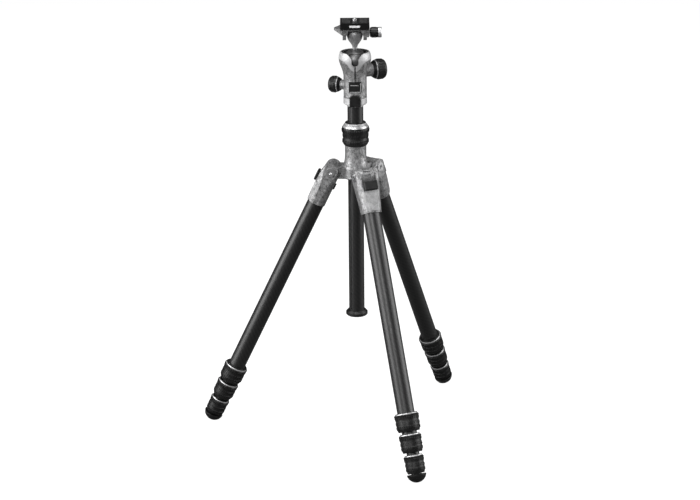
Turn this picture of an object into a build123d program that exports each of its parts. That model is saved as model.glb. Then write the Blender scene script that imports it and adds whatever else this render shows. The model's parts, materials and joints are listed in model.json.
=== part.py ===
from build123d import *
import os
from math import cos, radians, sin, tan

# Travel tripod with a ball head and a quick-release plate. Millimetres, +Z up.
# Origin: the floor point under the centre column. The head's drop notch faces -Y.

# Stance
leg_azimuths = {"a": 172.0, "b": 292.0, "c": 52.0}
leg_spread = 25.5
pivot_radius = 34.9
hinge_rise = 4.6

# Leg, measured along it from its pivot
casting_end = 54.6
tube_top = 31.0
first_lock_top = 343.3
lock_length = 26.6
lock_gap = 3.3
foot_gap = 1.2
foot_inset = 2.6
foot_ball_radius = 14.4
foot_radius = 13.75
foot_socket = 5.0
tube_radii = [12.5, 10.85, 9.2, 7.55]
tube_wall = 1.25
grip_radii = [18.0, 16.5, 14.75]
slide_clearance = 0.06
tube_past_lock = 12.0
inner_tube_top = 46.0
shim_length = 15.0
shim_stagger = 7.0
bush_length = 18.0

# Leg hinge
knuckle_radius = 11.0
knuckle_width = 21.6
arm_top = 8.0
pocket_start = 20.0
pocket_wall = 3.2
pocket_depth = 6.5
pocket_floor = -8.0
fork_width = 34.6
fork_shoulder = 16.0
fork_foot_width = 28.6
casting_depth = 27.2
casting_shoulder = 10.0
ear_radius = 11.5
fork_corner = 2.6
hinge_gap = 0.4
bolt_radius = 4.0
bolt_head_radius = 6.4
bolt_head_height = 1.6
bolt_head_gap = 0.15
bolt_clearance = 0.12
hex_socket_radius = 2.9
hex_socket_depth = 1.5
running_clearance = 0.06

# Angle lock, a sliding tab on the outer face of each leg's casting
tab_width = 20.4
tab_length = 12.5
tab_thickness = 4.0
tab_start = 10.0
tab_travel = 4.0
tab_stem_width = 13.0
tab_foot_width = 17.0
tab_foot_depth = 1.3
tab_stem_end = 19.0
tab_seat_depth = 3.1
tab_clearance = 0.15
bumper_start = 18.4
bumper_end = 25.0
bumper_width = 10.0
bumper_seat = 1.6
bumper_proud = 2.0

# Spider and centre column. Their heights, and the head's, are from the datum plane,
# which lies hinge_rise under the pivots.
hub_radius = 18.5
hub_bottom = -6.4
shoulder_top = 12.0
neck_radius = 15.5
neck_foot = 25.0
neck_top = 42.6
thread_radius = 14.4
thread_top = 60.0
column_radius = 11.4
column_wall = 1.5
column_bottom = -212.0
column_top = 101.0
bush_wall = 1.9
stud_radius = 4.7
groove_width = 3.0
groove_depth = 0.6
groove_azimuth = 235.0
lock_bottom = 43.0
lock_shoulder = 70.0
lock_rim = 76.2
lock_radius = 20.0
cap_radius = 16.0
cap_height = 8.0

# Ball head
base_bottom = 104.0
base_radius = 17.0
housing_bottom = 114.2
housing_top = 180.0
ball_height = 167.5
ball_radius = 16.8
ball_clearance = 0.15
neck_waist_radius = 3.5
notch_radius = 5.0
tilt_limit = 41.4
opening_margin = 0.6
collar_thickness = 2.2
pan_spigot_radius = 10.0
pan_spigot_height = 8.0
seat_radius = 11.0
seat_bottom = 143.0
seat_top = 157.0
label_width = 18.0
label_bottom = 123.3
label_top = 139.2
label_face = 16.5
label_depth = 1.4
slit_width = 1.8

# Knobs on the head: azimuth, height, grip radius, inner end and outer end
main_knob = {"azimuth": 20.0, "height": 151.4, "radius": 14.3, "start": 25.8, "end": 45.6, "boss": 9.5}
pan_knob = {"azimuth": 162.0, "height": 130.4, "radius": 11.5, "start": 21.4, "end": 39.0, "boss": 7.0}
knob_shaft_radius = 3.5
knob_gap = 0.3

# Clamp and quick-release plate
goblet_radius = 11.25
goblet_height = 205.0
goblet_top = 212.6
spindle_radius = 4.0
spindle_top = 215.4
clamp_bottom = 200.0
clamp_floor = 215.8
clamp_half_width = 17.2
clamp_half_depth = 16.6
arch_radius = 12.2
wing_reach = 29.5
wing_root = 206.5
wing_half_tip = 5.0
plate_width = 41.5
plate_depth = 40.0
plate_bottom = 216.0
plate_top = 224.5
dovetail_top = 220.4
dovetail_half = 18.0
dovetail_neck = 15.5
lip_depth = 3.0
jaw_gap = 0.25
jaw_opening = 3.0
jaw_outer = 20.9
jaw_bottom = 204.0
clamp_knob_height = 207.7
clamp_knob_radius = 7.25
clamp_knob_end = 38.0
clamp_screw_radius = 2.5
screw_radius = 3.175
screw_tip = 228.5
screw_relief = 0.5
screw_head_radius = 8.0
screw_head_height = 2.6

lock_tops = [first_lock_top + i * (lock_length + lock_gap) for i in range(3)]
foot_top = lock_tops[2] + lock_length + foot_gap
foot_centre = foot_top - foot_inset
pivot_height = foot_centre * cos(radians(leg_spread)) + foot_ball_radius
low = (Align.CENTER, Align.CENTER, Align.MIN)
datum_height = pivot_height - hinge_rise
lift = Pos(0, 0, datum_height)


def rod(radius, bottom, top):
    return Pos(0, 0, bottom) * Cylinder(radius, top - bottom, align=low)


def sleeve(outer, inner, bottom, top):
    return rod(outer, bottom, top) - rod(inner, bottom, top)


def block(x_range, y_range, z_range):
    size = [r[1] - r[0] for r in (x_range, y_range, z_range)]
    centre = [(r[1] + r[0]) / 2 for r in (x_range, y_range, z_range)]
    return Pos(*centre) * Box(*size)


def turned(curves):
    return revolve(Plane.XZ * make_face(Curve() + curves), Axis.Z)


def turned_polygon(points):
    return turned([Polyline(*points, close=True)])


def front_prism(points, half_depth):
    return extrude(Plane.XZ * make_face(Polyline(*points, close=True)), half_depth, both=True)


def along(azimuth, height, shape):
    # A shape built up +Z is laid along a level radius of the head.
    return Rot(0, 0, azimuth) * Pos(0, 0, height) * Rot(0, 90, 0) * shape


def on_leg(azimuth, shape):
    # A shape built down -Z from its pivot is put on its leg, with +X outwards.
    return Rot(0, 0, azimuth) * Pos(pivot_radius, 0, pivot_height) * Rot(0, -leg_spread, 0) * shape


def down(shape_from, shape_to):
    return -shape_to, -shape_from


def at_each_hinge(shape):
    placed = [Rot(0, 0, az) * Pos(pivot_radius, 0, hinge_rise) * shape for az in leg_azimuths.values()]
    return placed[0] + placed[1:]


# ---- spider, column and column lock -------------------------------------------------

def spider_casting():
    hub = turned_polygon([
        (0, hub_bottom), (hub_radius - 2, hub_bottom), (hub_radius, hub_bottom + 2),
        (hub_radius, shoulder_top - 2), (hub_radius - 1, shoulder_top + 1), (neck_radius + 0.8, shoulder_top + 8),
        (neck_radius, neck_foot),
        (neck_radius, neck_top), (thread_radius, neck_top), (thread_radius, thread_top), (0, thread_top),
    ])
    arm = block((0, pivot_radius), (-knuckle_width / 2, knuckle_width / 2), (-knuckle_radius, arm_top))
    hinge = Pos(0, 0, hinge_rise)
    arm = hinge * (arm + Pos(pivot_radius, 0, 0) * Rot(90, 0, 0) * Cylinder(knuckle_radius, knuckle_width))
    bolt_hole = hinge * Pos(pivot_radius, 0, 0) * Rot(90, 0, 0) * Cylinder(bolt_radius, fork_width)
    step = Box(4, knuckle_width / 2, 3.4)
    casting = hub
    side = knuckle_width / 2
    inner, outer = pocket_start, pivot_radius - knuckle_radius + 1.5
    pockets = [block((inner, outer), (pocket_wall - side, side - pocket_wall), (arm_top - pocket_depth, arm_top))]
    for face in (-1, 1):
        y = sorted((face * (side - pocket_wall), face * side))
        pockets.append(block((inner, outer), y, (pocket_floor, pocket_floor + pocket_depth)))
    for azimuth in leg_azimuths.values():
        casting += Rot(0, 0, azimuth) * arm
    for azimuth in leg_azimuths.values():
        casting -= Rot(0, 0, azimuth) * bolt_hole
        for pocket in pockets:
            casting -= Rot(0, 0, azimuth) * hinge * pocket
        for angle in (20, 50, 80):
            notch = hinge * Pos(pivot_radius, 0, 0) * Rot(0, -angle, 0) * Pos(knuckle_radius, 0, 0) * step
            casting -= Rot(0, 0, azimuth) * notch
    bore = column_radius + slide_clearance + bush_wall
    return lift * (casting - rod(bore, hub_bottom, thread_top))


def column_groove(clearance):
    depth = groove_depth - clearance
    key = block(
        (column_radius - depth, column_radius + 1), (-groove_width / 2 + clearance, groove_width / 2 - clearance),
        (column_bottom, column_top))
    return Rot(0, 0, groove_azimuth) * key


def column_bush():
    inner = column_radius + slide_clearance
    bush = sleeve(inner + bush_wall, inner, hub_bottom, thread_top)
    key = column_groove(slide_clearance) & rod(inner + bush_wall, hub_bottom, thread_top)
    return lift * (bush + key)


def pivot_bolts():
    seat = fork_width / 2 + bolt_head_gap
    shaft = Rot(90, 0, 0) * Cylinder(bolt_radius, 2 * seat)
    head = Cylinder(bolt_head_radius, bolt_head_height, align=low)
    socket = extrude(RegularPolygon(hex_socket_radius, 6), bolt_head_height + hex_socket_depth)
    bolt = shaft
    for side in (-1, 1):
        bolt += Rot(-90 * side, 0, 0) * Pos(0, 0, seat) * head
    for side in (-1, 1):
        bolt -= Rot(-90 * side, 0, 0) * Pos(0, 0, seat - hex_socket_depth) * socket
    return lift * at_each_hinge(bolt)


def column_tube():
    tube = sleeve(column_radius, column_radius - column_wall, column_bottom, column_top)
    return lift * (tube - column_groove(0))


def column_top_plate():
    flange = rod(column_radius + 0.6, column_top, base_bottom)
    plug = rod(column_radius - column_wall, column_top - 12, column_top)
    return lift * (flange + plug - rod(stud_radius, column_top - 12, base_bottom))


def head_stud():
    return lift * rod(stud_radius, column_top - 10, base_bottom + 6)


def column_bottom_cap():
    lip = column_bottom + 3
    foot = column_bottom + 3 - cap_height
    cup = turned_polygon([
        (0, foot), (cap_radius - 1.5, foot), (cap_radius, foot + 1.5),
        (cap_radius, column_bottom), (column_radius + 2, lip), (0, lip),
    ])
    cup -= rod(column_radius, column_bottom, lip)
    plug = rod(column_radius - column_wall, column_bottom, column_bottom + 14)
    return lift * (cup + plug)


def pan_base():
    drum = turned_polygon([
        (0, base_bottom), (base_radius - 1, base_bottom), (base_radius, base_bottom + 1),
        (base_radius, housing_bottom - knob_gap), (0, housing_bottom - knob_gap),
    ])
    spigot = rod(pan_spigot_radius, housing_bottom - knob_gap, housing_bottom + pan_spigot_height)
    return lift * (drum + spigot - rod(stud_radius, base_bottom, base_bottom + 6))


def column_lock_grip():
    outline = Spline(
        (lock_radius - 3.6, lock_bottom), (lock_radius - 1.4, lock_bottom + 4.5), (lock_radius - 1.8, lock_bottom + 13),
        (lock_radius - 0.5, lock_shoulder - 5), (lock_radius - 0.8, lock_shoulder))
    body = turned([outline, Polyline(outline @ 1, (0, lock_shoulder), (0, lock_bottom), outline @ 0)])
    threads = rod(thread_radius + running_clearance, lock_bottom, thread_top + hinge_gap)
    bore = rod(column_radius + 2 * slide_clearance, lock_bottom, lock_shoulder)
    return lift * (body - threads - bore)


def column_lock_ring():
    ring = turned_polygon([
        (0, lock_shoulder), (lock_radius - 1.6, lock_shoulder), (lock_radius - 2.6, lock_rim - 3.4),
        (lock_radius - 4.4, lock_rim - 2.8), (lock_radius - 4.4, lock_rim - 0.8), (lock_radius - 5, lock_rim),
        (0, lock_rim),
    ])
    return lift * (ring - rod(column_radius + 2 * slide_clearance, lock_shoulder, lock_rim))


# ---- ball head ----------------------------------------------------------------------

def knob_along(knob, shape):
    return along(knob["azimuth"], knob["height"], shape)


def housing_outline(inset):
    shape = [
        (16.6, housing_bottom), (16.6, 144.0), (17.4, 150.0), (19.5, 157.0),
        (21.9, 163.5), (23.2, 170.0), (22.8, 175.0), (20.9, housing_top),
    ]
    inner = [(r - inset, z) for r, z in shape]
    curve = Spline(*inner[1:])
    return turned([Line(inner[0], inner[1]), curve, Polyline(inner[-1], (0, housing_top), (0, housing_bottom), inner[0])])


def head_opening():
    # The ball's cavity, the cone that its neck tilts in, and the notch that it drops into.
    cavity = Pos(0, 0, ball_height) * Sphere(ball_radius + ball_clearance)
    rise = housing_top + 1 - ball_height
    reach = rise * tan(radians(tilt_limit)) + neck_waist_radius / cos(radians(tilt_limit))
    mouth = Pos(0, 0, ball_height) * Cone(
        neck_waist_radius / cos(radians(tilt_limit)) + opening_margin, reach + opening_margin, rise, align=low)
    slot = extrude(Plane.XZ * (Pos(0, ball_height) * Circle(notch_radius)), 30)
    side = notch_radius
    shoulder = ball_height + 4.5
    flare_left = Spline((-side, shoulder), (-side - 2, shoulder + 3.6), (-13.4, housing_top + 1))
    flare_right = Spline((side, shoulder), (side + 2, shoulder + 3.6), (13.4, housing_top + 1))
    channel = make_face(Curve() + [
        flare_left, Line(flare_left @ 1, flare_right @ 1), flare_right,
        Polyline(flare_right @ 0, (side, ball_height), (-side, ball_height), flare_left @ 0),
    ])
    return cavity + mouth + slot + extrude(Plane.XZ * channel, 30)


def collar_region():
    drop = Spline((0, 153.6), (6, 157.6), (12, 166.2), (26, 171.0), tangents=[(1, 0.5), (1, 0.1)])
    mirror_drop = Spline((0, 153.6), (-6, 157.6), (-12, 166.2), (-26, 171.0), tangents=[(-1, 0.5), (-1, 0.1)])
    face = make_face(Curve() + [drop, Polyline(drop @ 1, (26, housing_top), (-26, housing_top), mirror_drop @ 1), mirror_drop])
    return extrude(Plane.XZ * face, 30, both=True)


def collar_shell():
    return (housing_outline(0) - housing_outline(collar_thickness)) & collar_region()


def knob_bosses():
    bosses = []
    for knob in (main_knob, pan_knob):
        boss = rod(knob["boss"], 8, knob["start"] - knob_gap)
        bosses.append(knob_along(knob, boss))
    return bosses


def label_block(depth):
    return block((-label_width / 2, label_width / 2), (-label_face, -label_face + depth), (label_bottom, label_top))


def slit():
    return block((-slit_width / 2, slit_width / 2), (-30, -ball_radius / 2), (label_top, ball_height))


def head_housing():
    body = housing_outline(0)
    for boss in knob_bosses():
        body += boss
    body -= collar_shell()
    body -= head_opening()
    body -= rod(pan_spigot_radius + running_clearance, housing_bottom, housing_bottom + pan_spigot_height + 1)
    body -= rod(seat_radius, seat_bottom, ball_height)
    body -= slit()
    body -= block((-label_width / 2, label_width / 2), (-30, label_depth - label_face), (label_bottom, label_top))
    for knob in (main_knob, pan_knob):
        body -= knob_along(knob, rod(knob_shaft_radius + running_clearance, 11.6, knob["start"]))
    return lift * body


def housing_collar():
    collar = collar_shell()
    for boss in knob_bosses():
        collar -= boss
    return lift * (collar - head_opening() - slit())


def label_plate():
    return lift * label_block(label_depth)


def ball_seat():
    cup = rod(seat_radius, seat_bottom, seat_top)
    return lift * (cup - Pos(0, 0, ball_height) * Sphere(ball_radius + ball_clearance))


def ball():
    return lift * Pos(0, 0, ball_height) * Sphere(ball_radius)


def ball_neck():
    foot = ball_height + ball_radius - 1
    waist = foot + 2.4
    outline = Spline(
        (neck_waist_radius, waist), (neck_waist_radius + 0.7, waist + 3.4), (goblet_radius - 4.2, waist + 7.8),
        (goblet_radius - 1.2, waist + 12.8), (goblet_radius, goblet_height),
        (goblet_radius - 1.6, goblet_top - 2.4), (goblet_radius - 5, goblet_top))
    goblet = turned([
        outline,
        Polyline(outline @ 1, (0, goblet_top), (0, foot), (neck_waist_radius, foot), outline @ 0),
    ])
    spindle = rod(spindle_radius, goblet_top, spindle_top)
    seat = Pos(0, 0, ball_height) * Sphere(ball_radius + slide_clearance)
    return lift * (goblet + spindle - seat)


def knob_core(knob):
    flange = turned_polygon([
        (0, 0), (knob["boss"] + 1.5, 0), (knob["radius"] - 1.2, 3), (knob["radius"] - 1.2, 5), (0, 5),
    ])
    shaft = rod(knob_shaft_radius, -(knob["start"] - 12), 12)
    return lift * knob_along(knob, Pos(0, 0, knob["start"]) * (flange + shaft))


def knob_grip(knob):
    length = knob["end"] - knob["start"]
    r = knob["radius"]
    face = 5.0
    rim = Line((r - 0.4, face), (r, face + 3))
    side = Line((r, face + 3), (r - 0.3, length - 5))
    nose = Spline((r - 0.3, length - 5), (r - 2.2, length - 1.2), (r - 6, length), tangents=[(0, 1), (-1, 0)])
    grip = turned([rim, side, nose, Polyline(nose @ 1, (0, length), (0, face), (r - 0.4, face))])
    grip -= rod(knob_shaft_radius, face, 12)
    return lift * knob_along(knob, Pos(0, 0, knob["start"]) * grip)


# ---- clamp and plate ----------------------------------------------------------------

def jaw_hook(outer, side):
    # The part of a jaw over the clamp's floor, which grips the plate's dovetail.
    top = dovetail_top - jaw_gap
    slope = (dovetail_half - dovetail_neck) / (dovetail_top - 1 - plate_bottom)
    inner_low = dovetail_half + jaw_gap + slope * (plate_bottom - clamp_floor)
    points = [
        (dovetail_neck + jaw_gap, top), (outer, top), (outer + 0.3, clamp_floor - 2),
        (inner_low, clamp_floor - 2), (inner_low, clamp_floor), (dovetail_neck + jaw_gap, dovetail_top - 1),
    ]
    return front_prism([(side * x, z) for x, z in points], clamp_half_depth)


def clamp_base():
    w = clamp_half_width
    body = front_prism([(w, clamp_floor), (w, clamp_bottom), (-w, clamp_bottom), (-w, clamp_floor)], clamp_half_depth)
    wing = front_prism([
        (-w + 1, clamp_floor), (-w + 1, wing_root), (-w, wing_root), (-wing_reach, clamp_floor - 3.4),
        (-wing_reach, clamp_floor - 1.8), (-w - 3, clamp_floor),
    ], clamp_half_depth)
    plan = Polyline(
        (-w + 1, -clamp_half_depth), (-w - 1.5, -clamp_half_depth), (-wing_reach, -wing_half_tip),
        (-wing_reach, wing_half_tip), (-w - 1.5, clamp_half_depth), (-w + 1, clamp_half_depth), close=True)
    body += wing & Pos(0, 0, clamp_bottom) * extrude(make_face(plan), clamp_floor - clamp_bottom)
    arch = front_prism([
        (-arch_radius, clamp_bottom), (arch_radius, clamp_bottom), (arch_radius, goblet_height),
        (arch_radius * 0.72, goblet_top + 0.3), (-arch_radius * 0.72, goblet_top + 0.3), (-arch_radius, goblet_height),
    ], clamp_half_depth)
    body += jaw_hook(jaw_outer - 0.3, -1)
    body -= arch
    body -= rod(spindle_radius + running_clearance, goblet_top, clamp_floor)
    body -= Pos(0, 0, clamp_knob_height) * Rot(0, 90, 0) * rod(clamp_screw_radius + running_clearance, 0, w)
    for lug in jaw_lugs(tab_clearance, w + 1):
        body -= lug
    return lift * body


def jaw_lugs(clearance, end):
    lugs = []
    for side in (-1, 1):
        y = sorted((side * (9.5 - clearance), side * (13.5 + clearance)))
        z = (jaw_bottom + 0.4 - clearance, jaw_bottom + 4.4 + clearance)
        lugs.append(block((arch_radius + 0.4 - clearance * 8, end), y, z))
    return lugs


def clamp_jaw():
    start = clamp_half_width + jaw_gap
    body = front_prism([
        (start, clamp_floor - 2), (jaw_outer + 0.3, clamp_floor - 2),
        (jaw_outer, jaw_bottom + 2), (jaw_outer - 1.5, jaw_bottom), (start, jaw_bottom),
    ], clamp_half_depth)
    body += jaw_hook(jaw_outer, 1)
    for lug in jaw_lugs(0, start + 1):
        body += lug
    bore = Pos(0, 0, clamp_knob_height) * Rot(0, 90, 0) * rod(clamp_screw_radius + running_clearance, start, jaw_outer + 2)
    return lift * (body - bore)


def clamp_screw():
    shaft = rod(clamp_screw_radius, arch_radius + 0.4, clamp_knob_end - 4)
    return lift * Pos(0, 0, clamp_knob_height) * Rot(0, 90, 0) * shaft


def clamp_knob():
    start = jaw_outer + 0.6
    r = clamp_knob_radius
    grip = turned_polygon([
        (0, start), (r - 1.4, start), (r, start + 1.2), (r, clamp_knob_end - 0.8), (r - 0.8, clamp_knob_end),
        (0, clamp_knob_end),
    ])
    grip -= rod(clamp_screw_radius, start, clamp_knob_end - 4)
    return lift * Pos(0, 0, clamp_knob_height) * Rot(0, 90, 0) * grip


def pad_blocks(top):
    pads = []
    for side in (-1, 1):
        x = sorted((side * 5.5, side * (plate_width / 2 - 1.6)))
        pads.append(block(x, (-plate_depth / 2 + 4, plate_depth / 2 - 2), (plate_top - 0.8, top)))
    return pads


def quick_release_plate():
    half = plate_width / 2
    slab = block((-half, half), (-plate_depth / 2, plate_depth / 2), (dovetail_top, plate_top))
    tenon = front_prism([
        (-dovetail_half, plate_bottom), (dovetail_half, plate_bottom), (dovetail_neck, dovetail_top - 1),
        (dovetail_neck, dovetail_top), (-dovetail_neck, dovetail_top), (-dovetail_neck, dovetail_top - 1),
    ], plate_depth / 2)
    lip = block((-half, half), (-plate_depth / 2, -plate_depth / 2 + lip_depth), (plate_bottom - 0.3, dovetail_top))
    plate = slab + tenon + lip
    plate = fillet(plate.edges().filter_by(Axis.Z).group_by(SortBy.LENGTH)[-1], 1.2)
    plate -= rod(screw_head_radius + 0.3, plate_bottom, plate_bottom + screw_head_height + 1)
    plate -= rod(screw_radius + 0.1, plate_bottom, plate_top)
    for pad in pad_blocks(plate_top):
        plate -= pad
    return lift * plate


def plate_pads():
    pads = pad_blocks(plate_top + 0.2)
    return lift * (pads[0] + pads[1])


def camera_screw():
    seat = plate_bottom + screw_head_height + 0.6
    head = rod(screw_head_radius, seat - screw_head_height, seat)
    head -= block((-1, 1), (-screw_head_radius, screw_head_radius), (seat - screw_head_height, seat - screw_head_height + 1.2))
    tip = Pos(0, 0, screw_tip - 0.8) * Cone(screw_radius, screw_radius - 0.8, 0.8, align=low)
    shank = rod(screw_radius - screw_relief, seat, plate_top)
    return lift * (head + shank + rod(screw_radius, plate_top, screw_tip - 0.8) + tip)


# ---- legs, each built down its own axis from its pivot ------------------------------

def leg_hinge():
    half_depth = casting_depth / 2
    front = extrude(Plane.YZ * make_face(Polyline(
        (fork_width / 2, ear_radius), (fork_width / 2, -fork_shoulder), (fork_foot_width / 2, -casting_end),
        (-fork_foot_width / 2, -casting_end), (-fork_width / 2, -fork_shoulder), (-fork_width / 2, ear_radius),
        close=True)), half_depth, both=True)
    side = Rot(90, 0, 0) * Cylinder(ear_radius, fork_width)
    side += front_prism([
        (ear_radius, 0), (half_depth, -casting_shoulder), (half_depth, -casting_end),
        (-half_depth, -casting_end), (-half_depth, -casting_shoulder), (-ear_radius, 0),
    ], fork_width / 2)
    wide = fork_width / 2 + fork_corner
    corner = Pos(0, 0, -casting_end) * Cone(fork_foot_width / 2 + 0.4, wide, casting_end, align=low)
    corner += rod(wide, 0, ear_radius)
    body = front & side & corner
    gap = knuckle_width / 2 + hinge_gap
    body -= block((-30, 30), (-gap, gap), (-knuckle_radius - hinge_gap, 30))
    body -= Rot(90, 0, 0) * Cylinder(bolt_radius + bolt_clearance, fork_width)
    body -= rod(tube_radii[0], *down(tube_top, casting_end))
    body -= bumper(0)
    body -= tab_stem(tab_clearance, 0, tab_stem_end + tab_travel + tab_clearance)
    return body


def tab_stem(clearance, start, end):
    face = casting_depth / 2
    foot = face - tab_seat_depth
    wide = tab_foot_width / 2 + clearance
    thin = tab_stem_width / 2 + clearance
    stem = block((foot - clearance, foot + tab_foot_depth + clearance), (-wide, wide), down(start, end))
    return stem + block((foot, face + 1), (-thin, thin), down(start, end))


def bumper(proud):
    face = casting_depth / 2
    side = bumper_width / 2
    return block((-face - proud, -face + bumper_seat), (-side, side), down(bumper_start, bumper_end))


def leg_angle_lock():
    face = casting_depth / 2 + hinge_gap
    tab_end = tab_start + tab_length
    tab = block((face, face + tab_thickness), (-tab_width / 2, tab_width / 2), down(tab_start, tab_end))
    tab = chamfer(tab.faces().sort_by(Axis.X)[-1].edges(), 1)
    return tab + tab_stem(0, knuckle_radius + 2 * hinge_gap, tab_stem_end)


def leg_tube(index):
    outer = tube_radii[index]
    inner = outer - tube_wall
    if index == 0:
        top, end = tube_top, lock_tops[0] + tube_past_lock
    else:
        top = inner_tube_top + shim_stagger * index
        end = lock_tops[index] + tube_past_lock if index < 3 else foot_top + foot_socket
    tube = sleeve(outer, inner, *down(top, end))
    if index > 0:
        shim = tube_radii[index - 1] - tube_wall - slide_clearance
        tube += sleeve(shim, inner, *down(top, top + shim_length))
    if index < 3:
        bush = tube_radii[index + 1] + slide_clearance
        tube += sleeve(inner, bush, *down(end - bush_length, end))
    return tube


def leg_lock(index):
    top = lock_tops[index]
    end = top + lock_length
    r = grip_radii[index]
    grip = Spline((r, -top - 3.4), (r - 1.3, -top - 10), (r - 1.2, -top - 18), (r - 3.0, -end))
    body = turned([
        grip,
        Polyline(grip @ 1, (0, -end), (0, -top), (r - 2.4, -top), (r - 2.2, -top - 1.8), (r - 0.8, -top - 2.2), grip @ 0),
    ])
    outer_bore = rod(tube_radii[index] + running_clearance, *down(top, top + tube_past_lock + hinge_gap))
    inner_bore = rod(tube_radii[index + 1] + 2 * running_clearance, *down(top, end))
    return body - outer_bore - inner_bore


def leg_foot():
    dome = Pos(0, 0, -foot_centre) * Sphere(foot_ball_radius)
    dome &= rod(foot_radius, *down(foot_top, foot_top + 20))
    return dome - rod(tube_radii[3], *down(foot_top, foot_top + foot_socket))


# ---- build --------------------------------------------------------------------------

def all_nodes():
    nodes = {
        "spider_casting": spider_casting(), "column_bush": column_bush(), "pivot_bolts": pivot_bolts(),
        "column_tube": column_tube(), "column_top_plate": column_top_plate(), "head_stud": head_stud(),
        "column_bottom_cap": column_bottom_cap(), "pan_base": pan_base(),
        "column_lock_grip": column_lock_grip(), "column_lock_ring": column_lock_ring(),
        "head_housing": head_housing(), "housing_collar": housing_collar(), "label_plate": label_plate(),
        "ball_seat": ball_seat(), "ball": ball(), "ball_neck": ball_neck(),
        "clamp_base": clamp_base(), "clamp_jaw": clamp_jaw(), "clamp_screw": clamp_screw(), "clamp_knob": clamp_knob(),
        "quick_release_plate": quick_release_plate(), "plate_pads": plate_pads(), "camera_screw": camera_screw(),
        "main_knob_core": knob_core(main_knob), "main_knob_grip": knob_grip(main_knob),
        "pan_knob_core": knob_core(pan_knob), "pan_knob_grip": knob_grip(pan_knob),
    }
    leg_pieces = {"hinge": leg_hinge(), "bumper": bumper(bumper_proud), "angle_lock": leg_angle_lock(), "foot": leg_foot()}
    for index in range(4):
        leg_pieces[f"tube_{index + 1}"] = leg_tube(index)
    for index in range(3):
        leg_pieces[f"lock_{index + 1}"] = leg_lock(index)
    for name, azimuth in leg_azimuths.items():
        for piece, shape in leg_pieces.items():
            nodes[f"leg_{name}_{piece}"] = on_leg(azimuth, shape)
    return nodes


os.makedirs("parts", exist_ok=True)
for node, shape in all_nodes().items():
    export_step(shape, f"parts/{node}.step")
print(f"pivots {pivot_height:.3f} mm above the floor, plate top {datum_height + plate_top:.3f} mm")
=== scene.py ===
import json
import math
import bpy
from mathutils import Matrix, Vector


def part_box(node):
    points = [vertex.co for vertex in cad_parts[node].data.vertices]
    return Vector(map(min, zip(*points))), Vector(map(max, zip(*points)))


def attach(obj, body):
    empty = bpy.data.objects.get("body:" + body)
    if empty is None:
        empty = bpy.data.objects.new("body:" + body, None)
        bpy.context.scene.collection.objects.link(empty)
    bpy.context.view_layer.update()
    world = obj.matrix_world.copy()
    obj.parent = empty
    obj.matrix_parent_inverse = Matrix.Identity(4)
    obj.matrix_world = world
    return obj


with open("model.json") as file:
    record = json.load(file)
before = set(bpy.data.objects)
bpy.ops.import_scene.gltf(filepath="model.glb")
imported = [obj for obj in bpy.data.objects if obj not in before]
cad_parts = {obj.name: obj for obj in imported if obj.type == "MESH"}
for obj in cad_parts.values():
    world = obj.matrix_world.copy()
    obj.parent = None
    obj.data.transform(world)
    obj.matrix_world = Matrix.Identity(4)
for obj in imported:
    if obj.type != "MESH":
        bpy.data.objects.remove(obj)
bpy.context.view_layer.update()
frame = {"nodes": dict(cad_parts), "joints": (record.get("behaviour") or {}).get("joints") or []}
joints = {j["name"]: j for j in frame["joints"]}
nodes = frame["nodes"]
legNames = ["a", "b", "c"]
mm = 0.001


# places taken from the frame

def axisMatrix(point, zAxis, xHint):
    z = Vector(zAxis).normalized()
    x = Vector(xHint)
    x = (x - z * x.dot(z)).normalized()
    y = z.cross(x)
    turn = Matrix((x, y, z)).transposed()
    return Matrix.Translation(Vector(point)) @ turn.to_4x4()


def legMatrix(name):
    pivot = Vector(joints[f"leg_{name}_swing"]["pos_m"])
    downward = Vector(joints[f"leg_{name}_section_2_slide"]["axis"])
    return axisMatrix(pivot, -downward, (pivot.x, pivot.y, 0))  # +X points outwards


def knobMatrix(jointName):
    joint = joints[jointName]
    axis = Vector(joint["axis"])
    point = Vector(joint["pos_m"])
    centre = point - axis * Vector((point.x, point.y, 0)).length
    return axisMatrix(centre, axis, (0, 0, 1))


def localRange(nodeName, matrix):
    inverse = matrix.inverted()
    points = [inverse @ v.co for v in nodes[nodeName].data.vertices]
    low = Vector([min(p[i] for p in points) for i in range(3)])
    high = Vector([max(p[i] for p in points) for i in range(3)])
    return low, high


upright = Matrix.Identity(4)
legPlaces = {name: legMatrix(name) for name in legNames}
print("frame read:", len(nodes), "nodes")


# materials

def newMaterial(name):
    material = bpy.data.materials.new(name)
    material.use_nodes = True
    tree = material.node_tree
    tree.nodes.clear()
    output = tree.nodes.new("ShaderNodeOutputMaterial")
    shader = tree.nodes.new("ShaderNodeBsdfPrincipled")
    tree.links.new(shader.outputs[0], output.inputs[0])
    return material, tree, shader


def addNode(tree, kind, inputs=None, **settings):
    node = tree.nodes.new(kind)
    for key, value in settings.items():
        setattr(node, key, value)
    for key, value in (inputs or {}).items():
        if isinstance(value, bpy.types.NodeSocket):
            tree.links.new(value, node.inputs[key])
        else:
            node.inputs[key].default_value = value
    return node


def doMath(tree, operation, first, second=0.0, third=0.0):
    return addNode(tree, "ShaderNodeMath", {0: first, 1: second, 2: third}, operation=operation).outputs[0]


def localPoint(tree, matrix):
    coords = addNode(tree, "ShaderNodeTexCoord")
    mapping = addNode(tree, "ShaderNodeMapping", {
        "Vector": coords.outputs["Object"], "Location": matrix.translation, "Rotation": matrix.to_euler(),
    }, vector_type="TEXTURE")
    return mapping.outputs[0]


def noiseAt(tree, point, scale, detail=3.0, roughness=0.5):
    return addNode(tree, "ShaderNodeTexNoise", {
        "Vector": point, "Scale": scale, "Detail": detail, "Roughness": roughness}).outputs["Fac"]


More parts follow.
